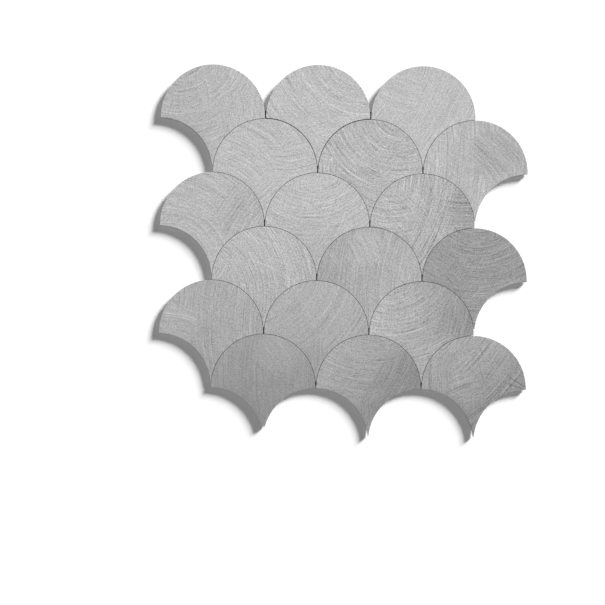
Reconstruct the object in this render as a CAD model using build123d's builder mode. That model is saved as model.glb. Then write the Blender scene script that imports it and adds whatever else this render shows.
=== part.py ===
"""
A sheet of self-adhesive metal mosaic in the fish-scale pattern, about 290 x 293 x 4 mm.

Eighteen flat brushed-metal scales lie in six rows of three. Every second row is moved half a
scale to the right. Each scale has a round head, two short straight flanks and two hollow
seats that meet in a blunt tail: the heads of the row below lie in those seats. The scales are
held by one soft adhesive sheet, cut a little inside their outline, and its face is covered by
a thin release liner. The left, right, top and bottom edges of the sheet are open seats, heads
and tails, so the next sheets lock in there.

The sheet lies flat, face up. X runs along the rows, Y points up the pattern, from tails to
heads, and Z is the sheet's thickness. The origin is in the middle of the underside.
Sizes are in millimetres.
"""

import os
from math import sqrt

from build123d import *

# The pattern
rows = 6
columns = 3

# One scale
head_radius = 41.2  # the round head, so a scale is 82.4 wide
flank_length = 1.1  # the straight side between the head and the corner
tail_width = 0.6  # the blunt end of the tail
blunt_tail_width = 3.0  # the first scale of the last row, whose tail is cut shorter
scale_thickness = 3.0
corner_radius = 0.3  # where a flank meets its seat

# The joints between the scales
side_joint = 0.8  # between two scales of one row, where they come closest
seat_joint = 0.3  # between a head and the seats that it lies in
loose_lift = 0.3  # how much higher the second scale of the first row lies, so its joint is wider

# What is behind the scales
adhesive_thickness = 0.85
liner_thickness = 0.15
backing_margin = 1.5  # how far the adhesive and the liner stay inside the scales' edge
bridge_rise = 5.0  # how high the backing reaches above the heads' centres, between the heads

# What follows from these sizes
column_pitch = 2 * head_radius + side_joint
seat_radius = head_radius + seat_joint
row_pitch = head_radius + flank_length + seat_joint
blunt_scale = (rows - 1, 0)
loose_scale = (0, 1)
adhesive_bottom = liner_thickness
scale_bottom = adhesive_bottom + adhesive_thickness


def tail_end(width):
    """The height of the tail's end above the centres of the next row's heads."""
    return sqrt(seat_radius**2 - (column_pitch / 2 - width / 2) ** 2)


sheet_top = head_radius + loose_lift
sheet_bottom = -rows * row_pitch + tail_end(tail_width)
first_row_y = -(sheet_top + sheet_bottom) / 2
first_head_x = -(columns - 1 / 2) * column_pitch / 2


def head_centre(row, column):
    """The centre of a head in the pattern, which goes on over the next sheets' scales."""
    stagger = column_pitch / 2 if row % 2 else 0
    return (first_head_x + column * column_pitch + stagger, first_row_y - row * row_pitch)


def scale_centre(row, column):
    """Where a scale of this sheet really lies: in the pattern, or for the loose one a little high."""
    x, y = head_centre(row, column)
    return (x, y + loose_lift) if (row, column) == loose_scale else (x, y)


def scale_outline(width_of_tail):
    """Draws one scale round its head's centre."""
    Circle(head_radius)
    with Locations((0, -row_pitch / 2)):
        Rectangle(2 * head_radius, row_pitch)
    with Locations((-column_pitch / 2, -row_pitch), (column_pitch / 2, -row_pitch)):
        Circle(seat_radius, mode=Mode.SUBTRACT)
    with Locations((0, tail_end(width_of_tail) - row_pitch)):
        Rectangle(2 * head_radius, row_pitch, align=(Align.CENTER, Align.MAX), mode=Mode.SUBTRACT)


def backing_outline():
    """Draws what lies behind the scales: a disc for each head, and a band along each row."""
    for row in range(rows):
        with Locations(*[head_centre(row, column) for column in range(columns)]):
            Circle(head_radius - backing_margin)
        with Locations(head_centre(row, (columns - 1) / 2)):
            Rectangle((columns - 1) * column_pitch, 2 * bridge_rise)
        # The seats stay open where the head in them is another sheet's
        beside = range(-1, columns + 1) if row == rows - 1 else [-1, columns]
        with Locations(*[head_centre(row + 1, column) for column in beside]):
            Circle(seat_radius + backing_margin, mode=Mode.SUBTRACT)


os.makedirs("parts", exist_ok=True)

# The scales, punched from brushed metal plate
for row in range(rows):
    for column in range(columns):
        x, y = scale_centre(row, column)
        with BuildPart() as scale:
            with BuildSketch(Plane((x, y, scale_bottom))) as outline:
                scale_outline(blunt_tail_width if (row, column) == blunt_scale else tail_width)
                tail_corners, flank_corners, head_ends = outline.vertices().group_by(Axis.Y)
                fillet(flank_corners, corner_radius)
            extrude(amount=scale_thickness)
        name = f"scale_r{row + 1}_c{column + 1}"
        scale.part.label = name
        export_step(scale.part, f"parts/{name}.step")

# The soft adhesive that carries all the scales
with BuildPart() as adhesive_sheet:
    with BuildSketch(Plane.XY.offset(adhesive_bottom)):
        backing_outline()
    extrude(amount=adhesive_thickness)
adhesive_sheet.part.label = "adhesive_sheet"
export_step(adhesive_sheet.part, "parts/adhesive_sheet.step")

# The liner that is peeled off before the sheet is pressed on a wall
with BuildPart() as release_liner:
    with BuildSketch():
        backing_outline()
    extrude(amount=liner_thickness)
release_liner.part.label = "release_liner"
export_step(release_liner.part, "parts/release_liner.step")
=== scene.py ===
import math

import bpy
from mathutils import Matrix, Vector


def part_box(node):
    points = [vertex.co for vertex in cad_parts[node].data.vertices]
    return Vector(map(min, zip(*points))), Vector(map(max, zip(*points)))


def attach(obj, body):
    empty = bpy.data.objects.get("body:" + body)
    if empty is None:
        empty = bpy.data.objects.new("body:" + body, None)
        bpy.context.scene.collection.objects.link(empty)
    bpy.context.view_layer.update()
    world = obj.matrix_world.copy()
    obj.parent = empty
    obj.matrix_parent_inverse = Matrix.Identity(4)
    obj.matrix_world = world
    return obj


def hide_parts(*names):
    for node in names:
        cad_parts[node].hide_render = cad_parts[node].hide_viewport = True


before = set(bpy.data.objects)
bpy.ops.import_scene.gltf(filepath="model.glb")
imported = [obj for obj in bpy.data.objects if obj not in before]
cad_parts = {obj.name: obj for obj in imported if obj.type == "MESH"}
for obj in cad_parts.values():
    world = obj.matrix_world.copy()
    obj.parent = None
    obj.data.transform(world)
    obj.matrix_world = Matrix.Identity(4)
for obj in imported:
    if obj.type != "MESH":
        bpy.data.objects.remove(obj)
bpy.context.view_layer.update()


# The fish-scale plates. Each is punched from flat brushed metal plate, which leaves a sharp
# outline with a slightly rolled rim on the face, and is pressed onto the adhesive behind it.
# The heads of the next row lie in the two seats of each plate, with a hairline joint.

class Term:
    """A socket that formulas use like a number. node() adds any other kind of node."""

    def __init__(self, tree, socket=None):
        self.tree, self.socket = tree, socket

    def node(self, kind, settings=(), inputs=(), output=0):
        made = self.tree.nodes.new(kind)
        for name, value in dict(settings).items():
            setattr(made, name, value)
        for name, value in dict(inputs).items():
            if isinstance(value, Term):
                self.tree.links.new(value.socket, made.inputs[name])
            else:
                made.inputs[name].default_value = value
        return Term(self.tree, made.outputs[output])

    def also(self, output):
        """Another output of the node that this one comes from."""
        return Term(self.tree, self.socket.node.outputs[output])

    def math(self, operation, *values):
        return self.node("ShaderNodeMath", {"operation": operation}, dict(enumerate(values)))

    def __add__(self, other):
        return self.math("ADD", self, other)

    def __radd__(self, other):
        return self.math("ADD", other, self)

    def __sub__(self, other):
        return self.math("SUBTRACT", self, other)

    def __rsub__(self, other):
        return self.math("SUBTRACT", other, self)

    def __mul__(self, other):
        return self.math("MULTIPLY", self, other)

    def __rmul__(self, other):
        return self.math("MULTIPLY", other, self)

    def __truediv__(self, other):
        return self.math("DIVIDE", self, other)

    def __rtruediv__(self, other):
        return self.math("DIVIDE", other, self)

    def __lt__(self, other):
        return self.math("LESS_THAN", self, other)


def tree_inputs(tree):
    """The inputs of a node tree, by name."""
    given = tree.nodes.new("NodeGroupInput")
    return {socket.name: Term(tree, socket) for socket in given.outputs if socket.name}


def tree_result(tree, term):
    """Makes a term the result of its node tree."""
    result = tree.nodes.new("NodeGroupOutput")
    tree.links.new(term.socket, result.inputs[0])


# One plate's shape, drawn round its head's centre: a ring of points for the outline, filled and
# drawn up to the plate's thickness. The flank is the straight side between the head and the seat's
# corner, and the side joint is what two plates of one row leave between them.
head_radius = 0.0412
side_joint = 0.0008
seat_joint = 0.0003
flank_length = 0.0011
tail_width = 0.0006
blunt_tail_width = 0.003
row_pitch = head_radius + flank_length + seat_joint
head_steps = 120
seat_steps = 60
weld_distance = 1e-6

plate_tree = bpy.data.node_groups.new("fish_scale_plate", "GeometryNodeTree")
for label, kind in (
    ("Head Radius", "NodeSocketFloat"),
    ("Seat Radius", "NodeSocketFloat"),
    ("Column Pitch", "NodeSocketFloat"),
    ("Row Pitch", "NodeSocketFloat"),
    ("Tail Width", "NodeSocketFloat"),
    ("Thickness", "NodeSocketFloat"),
    ("Head Centre", "NodeSocketVector"),
    ("Head Steps", "NodeSocketInt"),
    ("Seat Steps", "NodeSocketInt"),
    ("Metal", "NodeSocketMaterial"),
):
    plate_tree.interface.new_socket(label, in_out="INPUT", socket_type=kind)
plate_tree.interface.new_socket("Plate", in_out="OUTPUT", socket_type="NodeSocketGeometry")
size = tree_inputs(plate_tree)
half_pitch = size["Column Pitch"] * 0.5
step = Term(plate_tree).node("GeometryNodeInputIndex")
on_head = step < size["Head Steps"]
past_head = step - size["Head Steps"]
on_left = past_head < size["Seat Steps"]
last_seat_step = size["Seat Steps"] - 1

# The head, from its right end over the top to its left end
turn = math.pi * step / (size["Head Steps"] - 1)
head_x = size["Head Radius"] * turn.math("COSINE", turn)
head_y = size["Head Radius"] * turn.math("SINE", turn)

# The left seat down to the tail, and the right seat back up from it
down = on_left * past_head + (1 - on_left) * (last_seat_step * 2 + 1 - past_head)
corner_cosine = (half_pitch - size["Head Radius"]) / size["Seat Radius"]
tail_cosine = (half_pitch - size["Tail Width"] * 0.5) / size["Seat Radius"]
at_corner = step.math("ARCCOSINE", corner_cosine)
at_tail = step.math("ARCCOSINE", tail_cosine)
sweep = at_corner + (at_tail - at_corner) * down / last_seat_step
side = 1 - 2 * on_left
seat_x = side * (half_pitch - size["Seat Radius"] * sweep.math("COSINE", sweep))
seat_y = size["Seat Radius"] * sweep.math("SINE", sweep) - size["Row Pitch"]

outline = step.node(
    "ShaderNodeCombineXYZ",
    {},
    {"X": on_head * head_x + (1 - on_head) * seat_x, "Y": on_head * head_y + (1 - on_head) * seat_y},
)
line = step.node(
    "GeometryNodeMeshLine", {}, {"Count": size["Head Steps"] + size["Seat Steps"] * 2}
)
line = step.node("GeometryNodeSetPosition", {}, {"Geometry": line, "Position": outline})
ring = step.node("GeometryNodeMeshToCurve", {}, {"Mesh": line})
ring = step.node("GeometryNodeSetSplineCyclic", {}, {"Geometry": ring, "Cyclic": True})
back = step.node("GeometryNodeFillCurve", {"mode": "NGONS"}, {"Curve": ring})
rise = step.node("ShaderNodeCombineXYZ", {}, {"Z": size["Thickness"]})
shell = step.node(
    "GeometryNodeExtrudeMesh",
    {"mode": "FACES"},
    {"Mesh": back, "Offset": rise, "Offset Scale": 1.0, "Individual": False},
)
closing = step.node("GeometryNodeFlipFaces", {}, {"Mesh": back})
join = plate_tree.nodes.new("GeometryNodeJoinGeometry")
for piece in (shell, closing):
    plate_tree.links.new(piece.socket, join.inputs[0])
solid = Term(plate_tree, join.outputs[0])
solid = step.node("GeometryNodeMergeByDistance", {}, {"Geometry": solid, "Distance": weld_distance})
solid = step.node("GeometryNodeTransform", {}, {"Geometry": solid, "Translation": size["Head Centre"]})
solid = step.node("GeometryNodeSetShadeSmooth", {}, {"Geometry": solid, "Shade Smooth": True})
solid = step.node("GeometryNodeRealizeInstances", {}, {"Geometry": solid})
solid = step.node("GeometryNodeSetMaterial", {}, {"Geometry": solid, "Material": size["Metal"]})
tree_result(plate_tree, solid)


# One pass of the brush over a plate: grooves in arcs round a centre, each light on one side and
# dark on the other, with its own strength, and broken along its length. Places and sizes are in mm
# from the head's centre, and the marks lie evenly above and below 0.
# Each layer's spacing, length of an unbroken stretch, share of the spacing that is groove, and
# strength
groove_layers = (
    (1.2, 12.0, 1.0, 4.8),
    (1.8, 50.0, 1.0, 4.0),
    (2.7, 80.0, 1.0, 1.3),
    (4.3, 110.0, 0.4, 2.1),
)
drift_length = 4  # in spacings: how soon the grooves run closer together or further apart
drift_rows = 2.0  # by how many spacings they may be off for it
row_start, row_step = 0.5, 3.7  # where each groove reads the noise, so that no two are alike
row_slip = 0.61  # how far a groove's stretches are moved from those of the last one
layer_step = 11.0  # how far apart the layers read the noise


def distance(x, y):
    return x.math("SQRT", x * x + y * y)


brush_pass = bpy.data.node_groups.new("brush_pass", "ShaderNodeTree")
for label in ("X", "Y", "Centre X", "Centre Y", "Seed"):
    brush_pass.interface.new_socket(label, in_out="INPUT", socket_type="NodeSocketFloat")
brush_pass.interface.new_socket("Marks", in_out="OUTPUT", socket_type="NodeSocketFloat")
brush = tree_inputs(brush_pass)
centre_x, centre_y = brush["Centre X"], brush["Centre Y"]

# The place as seen from the arcs' centre, ahead towards the head's centre and aside of that line
far = distance(centre_x, centre_y)
across_x, across_y = brush["X"] - centre_x, brush["Y"] - centre_y
ahead = -1 * (across_x * centre_x + across_y * centre_y) / far
aside = (across_x * centre_y - across_y * centre_x) / far
reach = distance(ahead, aside)
along = far.math("ARCTAN2", aside, ahead) * far

marks = 0.0
for spacing, length, share, strength in groove_layers:
    drift = reach.node(
        "ShaderNodeTexNoise",
        {"noise_dimensions": "1D"},
        {"W": reach / (drift_length * spacing) + brush["Seed"], "Detail": 0.0},
    )
    rows = reach / spacing + drift_rows * drift
    row = rows.math("FLOOR", rows)
    spot = row.node(
        "ShaderNodeCombineXYZ",
        {},
        {
            "X": row * row_step + row_start,
            "Y": along / length + row * row_slip,
            "Z": brush["Seed"] + layer_step * spacing,
        },
    )
    bright = row.node("ShaderNodeTexNoise", {}, {"Vector": spot, "Scale": 1.0, "Detail": 1.0}) - 0.5
    phase = row.math("FRACT", rows) / share
    groove = row.math("SINE", phase * (2 * math.pi)) * (phase < 1)
    marks = bright * groove * strength + marks
tree_result(brush_pass, marks)


def brush_marks(x, y, centre, seed):
    return x.node(
        "ShaderNodeGroup",
        {"node_tree": brush_pass},
        {"X": x, "Y": y, "Centre X": centre[0], "Centre Y": centre[1], "Seed": seed},
    )


# The metal of a plate. It is brushed in arcs round a centre of its own, with patches that are
# brushed round others, and a weaker pass crosses all of it here and there. Its base colour holds
# painted sheen: the plate's tone, its lean and its patches' changes of tone paint in how the
# brushed metal catches the light. Sizes are in mm.
per_metre = 1000
cloud_size, cloud_detail = 17.0, 2.0
wobble_size, wobble_detail = 7.0, 3.0
bend, bend_size = 1.2, 14.0
cloud_tone = 0.06
patch_blur = 7.0
patch_wobble = 14.0
crossing_turn = math.radians(55)
crossing_wobble = 0.5
crossing_clouds = (-0.15, 0.2)  # from the clouds' darker places to their lighter ones,
crossing_share = (0.2, 0.5)  # the crossing pass grows by this much
grit_size = 0.95
face_level = 1.04  # the mean shade, as a share of the tone
# how strongly the strokes' relief is painted into the colour as groove shading
groove_shading_contrast = 0.235
grit_contrast = 0.4
scratch_edge, scratch_core = 0.55, 0.15
scratch_depth = 0.4
satin_roughness = 0.40
groove_roughness = 0.06
groove_depth = 0.00002  # in metres
patch_seed, crossing_seed, plate_seed = 3.0, 40.0, 7.3


def new_material(name):
    """A new material, its shader, and a term that starts nodes in it."""
    material = bpy.data.materials.new(name)
    material.use_nodes = True
    tree = material.node_tree
    return material, tree.nodes["Principled BSDF"], Term(tree)


def feed(shader, terms):
    """Links terms to the shader's sockets."""
    for label, term in terms.items():
        term.tree.links.new(term.socket, shader.inputs[label])


def clouds(place, lump, detail):
    """Cloudy noise about 0, with lumps of a size in mm."""
    return place.node(
        "ShaderNodeTexNoise", {}, {"Vector": place, "Scale": 1 / lump, "Detail": detail}
    ) - 0.5


def fade(value, start, end, low=0.0, high=1.0):
    """A smooth change from low, where the value is at start, to high, where it is at end."""
    return value.node(
        "ShaderNodeMapRange",
        {"interpolation_type": "SMOOTHSTEP"},
        {"Value": value, "From Min": start, "From Max": end, "To Min": low, "To Max": high},
    )


def scratch_cut(x, y, scratch):
    """1 in a scratch that runs straight between two points, and 0 beside it."""
    (first_x, first_y), (last_x, last_y) = scratch
    run_x, run_y = last_x - first_x, last_y - first_y
    way = ((x - first_x) * run_x + (y - first_y) * run_y) / (run_x**2 + run_y**2)
    way = x.node("ShaderNodeClamp", {}, {"Value": way, "Min": 0.0, "Max": 1.0})
    off = distance(x - first_x - run_x * way, y - first_y - run_y * way)
    return fade(off, scratch_edge, scratch_core)


def brushed_metal(name, head, brushwork, scratches, seed):
    """Satin metal for the plate whose head's centre is given, with its own brushwork and painted
    sheen.
    """
    tone_and_sheen, (sheen_lean_x, sheen_lean_y), bite, centre, patches = brushwork
    metal, shader, start = new_material(name)
    local = start.node(
        "ShaderNodeMapping",
        {"vector_type": "POINT"},
        {
            "Vector": start.node("ShaderNodeTexCoord", {}, {}, "Object"),
            "Location": (-per_metre * head.x, -per_metre * head.y, 0),
            "Scale": (per_metre, per_metre, per_metre),
        },
    )
    x = start.node("ShaderNodeSeparateXYZ", {}, {"Vector": local}, "X")
    y = x.also("Y")
    cloud = clouds(local, cloud_size, cloud_detail)
    wobble = clouds(local, wobble_size, wobble_detail)
    bent_x, bent_y = x + bend * cloud, y + bend * clouds(local, bend_size, cloud_detail)

    marks = brush_marks(bent_x, bent_y, centre, seed)
    # The metal's grey with painted sheen: lighter or darker per plate, across it and in patches, as
    # the brushed metal catches the light
    light = tone_and_sheen + sheen_lean_x * x + sheen_lean_y * y + cloud_tone * cloud
    for number, (own_centre, (patch_x, patch_y), radius, sheen_change) in enumerate(patches, 1):
        off = distance(x - patch_x, y - patch_y) + patch_wobble * wobble
        inside = fade(off, radius + patch_blur, radius - patch_blur)
        own = brush_marks(bent_x, bent_y, own_centre, seed + patch_seed * number)
        marks = marks + inside * (own - marks)
        light = light + sheen_change * inside
    turned = (
        math.cos(crossing_turn) * centre[0] - math.sin(crossing_turn) * centre[1],
        math.sin(crossing_turn) * centre[0] + math.cos(crossing_turn) * centre[1],
    )
    crossing = brush_marks(bent_x, bent_y, turned, seed + crossing_seed)
    crossed = fade(cloud + crossing_wobble * wobble, *crossing_clouds, *crossing_share)
    relief = marks + crossed * crossing

    grit = clouds(local, grit_size, 0.0)
    # The strokes' light and dark sides in the base colour are painted groove shading; the same relief
    # is real in the bump and the roughness
    shade = light * (
        face_level + groove_shading_contrast * bite * relief + grit_contrast * (1 + bite) * grit
    )
    for scratch in scratches:
        shade = shade * (1 - scratch_depth * scratch_cut(x, y, scratch))
    feed(shader, {
        "Base Color": start.node(
            "ShaderNodeCombineColor", {}, {"Red": shade, "Green": shade, "Blue": shade}
        ),
        "Roughness": satin_roughness + groove_roughness * relief,
        "Normal": start.node(
            "ShaderNodeBump", {}, {"Height": relief, "Strength": 1.0, "Distance": groove_depth}
        ),
    })
    shader.inputs["Metallic"].default_value = 1.0
    return metal


# The brushwork of each plate, row by row from the top: its tone, which is the metal's grey with
# painted sheen, how that painted sheen changes per mm to the right and upwards, how deep the brush
# bit, which sets how strong the painted groove shading and the grit are, and the centre of its
# arcs. Then come its patches, each with the centre of its own arcs, its place, its radius and its
# change of tone, which is painted sheen. Places are in mm from the head's centre, and a scratch
# goes from its first point to its last.
brushing = {
    "r1_c1": (0.505, (0.0008, 0.0004), 0.9, (-28, 55), [((-120, -25), (26, -2), 20, 0.0)]),
    "r1_c2": (0.55, (0.0, 0.0), 1.0, (37, 57), [((-70, -60), (-12, -16), 16, 0.0)]),
    "r1_c3": (0.555, (0.0, 0.0), 0.8, (-120, 74), [((10, 120), (-18, 20), 16, 0.0)]),
    "r2_c1": (
        0.54, (0.0, 0.0), 0.9, (-52, -47),
        [((8, 95), (22, 6), 18, 0.01), ((-75, 70), (0, -18), 12, 0.0)],
    ),
    "r2_c2": (0.50, (0.0, 0.0), 1.3, (24, 50), [((-110, 12), (-33, 4), 9, 0.02)]),
    "r2_c3": (0.51, (-0.0004, 0.0), 1.0, (-220, 20), [((-60, -60), (15, 14), 19, -0.05)]),
    "r3_c1": (0.515, (0.0, 0.0), 1.0, (-36, -36), [((120, -60), (27, 6), 24, -0.035)]),
    "r3_c2": (0.52, (0.0, 0.001), 1.0, (-5, 62), [((-90, 60), (4, -20), 12, -0.02)]),
    "r3_c3": (
        0.48, (0.0, 0.0005), 1.3, (-120, 50),
        [((-24, 60), (-24, 8), 19, 0.01), ((33, 120), (60, 8), 40, -0.09)],
    ),
    "r4_c1": (0.49, (0.0, 0.001), 1.1, (-62, -14), [((-90, 40), (-33, 4), 7, 0.0)]),
    "r4_c2": (
        0.45, (0.0008, 0.0), 1.0, (200, -20),
        [((-80, -10), (-3, 24), 14, 0.05), ((90, -60), (-33, 4), 8, -0.03)],
    ),
    "r4_c3": (0.35, (0.0, 0.0), 1.2, (2, 68), [((-80, -50), (-18, 4), 10, -0.01)]),
    "r5_c1": (0.42, (0.0, 0.001), 0.9, (150, 6), [((-40, -82), (-26, 6), 15, 0.03)]),
    "r5_c2": (0.43, (0.0, 0.0012), 0.8, (-60, 60), [((-150, -20), (0, -18), 11, -0.03)]),
    "r5_c3": (0.43, (-0.0020, 0.0), 1.2, (-25, 60), [((-70, 26), (31, 10), 15, -0.03)]),
    "r6_c1": (0.33, (0.0, 0.0014), 0.6, (180, 6), [((-60, -25), (12, 27), 15, 0.03)]),
    "r6_c2": (
        0.375, (-0.0008, 0.0012), 1.0, (6, 92),
        [((-90, 60), (44, -10), 44, -0.055), ((160, -10), (0, -20), 10, -0.02)],
    ),
    "r6_c3": (
        0.345, (-0.0006, 0.002), 1.1, (-100, 110),
        [((200, 10), (-30, 4), 16, 0.0), ((24, -84), (-8, 0), 12, 0.035)],
    ),
}
scratched = {"r6_c3": [((28.2, 8.9), (40.6, 1.4)), ((25.9, 4.1), (38.5, -0.4))]}
blunt_plate = "r6_c1"
rolled_rim = 0.0001
rim_steps = 3
rim_angle = math.radians(40)

for number, (place, brushwork) in enumerate(brushing.items()):
    node = f"scale_{place}"
    low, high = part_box(node)
    head = Vector(((low.x + high.x) / 2, high.y - head_radius, low.z))
    scratches = scratched.get(place, [])
    values = {
        "Head Radius": head_radius,
        "Seat Radius": head_radius + seat_joint,
        "Column Pitch": 2 * head_radius + side_joint,
        "Row Pitch": row_pitch,
        "Tail Width": blunt_tail_width if place == blunt_plate else tail_width,
        "Thickness": high.z - low.z,
        "Head Centre": head,
        "Head Steps": head_steps,
        "Seat Steps": seat_steps,
        "Metal": brushed_metal(
            f"brushed_metal_{place}", head, brushwork, scratches, plate_seed * number
        ),
    }
    plate = bpy.data.objects.new(f"plate_{place}", bpy.data.meshes.new(f"plate_{place}"))
    bpy.context.scene.collection.objects.link(plate)
    shape = plate.modifiers.new("shape", "NODES")
    shape.node_group = plate_tree
    for item in plate_tree.interface.items_tree:
        if item.name in values:
            shape[item.identifier] = values[item.name]
    rolled = plate.modifiers.new("rolled_rim", "BEVEL")
    rolled.width = rolled_rim
    rolled.segments = rim_steps
    rolled.limit_method = "ANGLE"
    rolled.angle_limit = rim_angle
    rolled.harden_normals = True
    finished = bpy.data.meshes.new_from_object(
        plate.evaluated_get(bpy.context.evaluated_depsgraph_get())
    )
    plate.modifiers.clear()
    plate.data = finished
    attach(plate, "root")
    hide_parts(node)


# The adhesive sheet. It is a soft black foam, cut to the outline of the pattern, and holds the
# plates. It shows only at the bottom of the joints and at the edge.
foam_cells = 3500.0  # in a metre
foam_mottle = 400.0
foam_black, foam_variation = 0.012, 0.02
foam_blueness = 1.05
foam_roughness = 0.85
foam_strength, foam_depth = 0.6, 0.0001


def dress(node, material):
    """Gives a CAD node its material."""
    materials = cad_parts[node].data.materials
    materials.clear()
    materials.append(material)


foam, foam_shader, foam_start = new_material("black_foam_adhesive")
foam_place = foam_start.node("ShaderNodeTexCoord", {}, {}, "Object")
cells = foam_start.node("ShaderNodeTexVoronoi", {}, {"Vector": foam_place, "Scale": foam_cells})
mottle = foam_start.node(
    "ShaderNodeTexNoise", {}, {"Vector": foam_place, "Scale": foam_mottle, "Detail": 3.0}
)
foam_grey = foam_black + foam_variation * mottle
feed(foam_shader, {
    "Base Color": foam_start.node(
        "ShaderNodeCombineColor",
        {},
        {"Red": foam_grey, "Green": foam_grey, "Blue": foam_grey * foam_blueness},
    ),
    "Normal": foam_start.node(
        "ShaderNodeBump", {}, {"Height": cells, "Strength": foam_strength, "Distance": foam_depth}
    ),
})
foam_shader.inputs["Roughness"].default_value = foam_roughness
dress("adhesive_sheet", foam)


# The release liner. It is thin white paper with a silicone coat, cut with the adhesive, and is
# peeled off before the sheet is pressed on a wall.
paper_fibres = 900.0  # in a metre
paper_waves = 25.0
paper_white = 0.80
fibre_tone, wave_tone = 0.06, 0.05
paper_green, paper_blue = 0.99, 0.95  # against its red, which makes it a warm white
fibre_height = 0.2
paper_strength, paper_depth = 0.4, 0.0004
coat_roughness, fibre_roughness = 0.32, 0.15

liner, liner_shader, liner_start = new_material("siliconised_paper")
liner_place = liner_start.node("ShaderNodeTexCoord", {}, {}, "Object")
fibres = liner_start.node(
    "ShaderNodeTexNoise", {}, {"Vector": liner_place, "Scale": paper_fibres, "Detail": 4.0}
)
waves = liner_start.node(
    "ShaderNodeTexNoise", {}, {"Vector": liner_place, "Scale": paper_waves, "Detail": 1.0}
)
paper = paper_white + fibre_tone * (fibres - 0.5) + wave_tone * (waves - 0.5)
feed(liner_shader, {
    "Base Color": liner_start.node(
        "ShaderNodeCombineColor",
        {},
        {"Red": paper, "Green": paper * paper_green, "Blue": paper * paper_blue},
    ),
    "Normal": liner_start.node(
        "ShaderNodeBump",
        {},
        {
            "Height": fibres * fibre_height + waves,
            "Strength": paper_strength,
            "Distance": paper_depth,
        },
    ),
    "Roughness": coat_roughness + fibre_roughness * fibres,
})
dress("release_liner", liner)


# The studio. A plain white floor that keeps the sheet's shadow, one lamp low on the upper right
# for the shadow, and a soft panel overhead that the metal reflects.
floor_size = 6.0
floor_gap = 0.0001
floor_white = 0.92
floor_lift = 0.14  # what the camera sees added, so that the floor shows white
half = floor_size / 2
floor = bpy.data.objects.new("floor", bpy.data.meshes.new("floor"))
floor.data.from_pydata(
    [(-half, -half, 0), (half, -half, 0), (half, half, 0), (-half, half, 0)], [], [(0, 1, 2, 3)]
)
bpy.context.scene.collection.objects.link(floor)
floor.location.z = -floor_gap
white, white_shader, white_start = new_material("white_floor")
white_shader.inputs["Base Color"].default_value = (floor_white, floor_white, floor_white, 1)
white_shader.inputs["Roughness"].default_value = 0.9
white_shader.inputs["Emission Color"].default_value = (1, 1, 1, 1)
seen = white_start.node("ShaderNodeLightPath", {}, {}, "Is Camera Ray")
feed(white_shader, {"Emission Strength": seen * floor_lift})
floor.data.materials.append(white)

key_height, key_side = math.radians(21), math.radians(43)
key = bpy.data.objects.new("key", bpy.data.lights.new("key", "SUN"))
bpy.context.scene.collection.objects.link(key)
key.data.energy = 8.0
key.data.angle = math.radians(17)
key.visible_glossy = False
towards_key = Vector((
    math.cos(key_height) * math.cos(key_side),
    math.cos(key_height) * math.sin(key_side),
    math.sin(key_height),
))
key.rotation_euler = towards_key.to_track_quat("Z", "Y").to_euler()

panel = bpy.data.objects.new("panel", bpy.data.lights.new("panel", "AREA"))
bpy.context.scene.collection.objects.link(panel)
panel.data.shape = "SQUARE"
panel.data.size = 1.4
panel.data.energy = 0.8
panel.location = (0.1, 0.15, 1.6)
panel.visible_diffuse = False

# The room round it is faint as a light, white for the camera and for rays through clear things,
# and nearly white in the metal's reflections
room_light = 0.08
room_reflected = 0.85
world = bpy.data.worlds.new("studio")
bpy.context.scene.world = world
world.use_nodes = True
backdrop = world.node_tree.nodes["Background"]
backdrop.inputs["Color"].default_value = (1, 1, 1, 1)
camera_ray = Term(world.node_tree).node("ShaderNodeLightPath", {}, {}, "Is Camera Ray")
glossy_ray, clear_ray = camera_ray.also("Is Glossy Ray"), camera_ray.also("Is Transmission Ray")
room = (
    room_light
    + (1 - room_light) * camera_ray
    + (room_reflected - room_light) * glossy_ray
    + (1 - room_light) * clear_ray
)
feed(backdrop, {"Strength": room})


# The camera. It looks straight down on the plates' face, turned half a degree as the picture is,
# and the picture's middle lies to the lower left of the sheet's.
picture_width = 0.4784
picture_middle = (-0.03193, -0.04148)
picture_turn = math.radians(0.503)
face_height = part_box("scale_r1_c1")[1].z
camera = bpy.data.objects.new("camera", bpy.data.cameras.new("camera"))
bpy.context.scene.collection.objects.link(camera)
camera.data.lens = 100.0
camera.data.sensor_width = 36.0
camera_height = face_height + picture_width * camera.data.lens / camera.data.sensor_width
camera.location = (*picture_middle, camera_height)
camera.rotation_euler = (0, 0, picture_turn)
bpy.context.scene.camera = camera
bpy.context.scene.view_settings.view_transform = "Standard"
